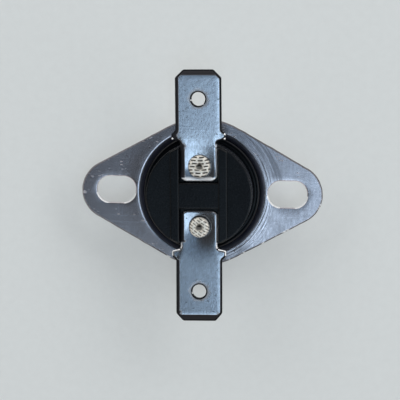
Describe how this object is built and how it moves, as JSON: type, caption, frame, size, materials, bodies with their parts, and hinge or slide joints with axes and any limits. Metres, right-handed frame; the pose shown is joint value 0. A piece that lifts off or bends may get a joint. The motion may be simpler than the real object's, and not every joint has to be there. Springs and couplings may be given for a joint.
{
  "type": "bimetal disc temperature switch",
  "caption": "Round snap-disc temperature switch: drawn cup with slotted mounting ears, black moulded base, hatched rivets and flat push-on terminals in line.",
  "frame": {"origin": "middle of the flat sensing face under the cup", "axes": "+Z out of the cup toward the terminals, X along the two flange ears, Y along the terminals"},
  "size_m": [0.0334, 0.0344, 0.0101],
  "materials": {
    "cup_aluminium": "drawn, lightly scratched",
    "base_phenolic": "semi-gloss moulded",
    "terminal_plate": "satin plated",
    "rivet_plate": "bright pressed",
    "disc_bimetal": "rolled",
    "guide_phenolic": "moulded",
    "pin_ceramic": "fired",
    "arm_copper": "rolled",
    "contact_silver": "bright",
    "strip_brass": "rolled"
  },
  "bodies": {
    "housing": {"flanged_cup": "cup_aluminium", "base": "base_phenolic", "terminal_a": "terminal_plate", "terminal_b": "terminal_plate", "rivet_a": "rivet_plate", "rivet_b": "rivet_plate", "bimetal_disc": "disc_bimetal", "pin_guide": "guide_phenolic", "fixed_bracket": "strip_brass", "fixed_contact": "contact_silver"},
    "pin": {"push_pin": "pin_ceramic"},
    "arm": {"contact_arm": "arm_copper", "moving_contact": "contact_silver"}
  },
  "joints": [
    {"name": "pin_slide", "type": "slide", "parent": "housing", "child": "pin", "axis": [0, 0, 1], "range_m": [0, 0.00035], "deforming": ["bimetal_disc"]},
    {"name": "arm_lift", "type": "hinge", "parent": "housing", "child": "arm", "pos_m": [-0.00005, 0.0024, 0.00543], "axis": [-0.9997, -0.0227, 0], "range_deg": [0, 8.5], "deforming": ["contact_arm"]}
  ],
  "couplings": [
    {"joint": "arm_lift", "follows": "pin_slide", "rad_per_m": 416.67}
  ]
}
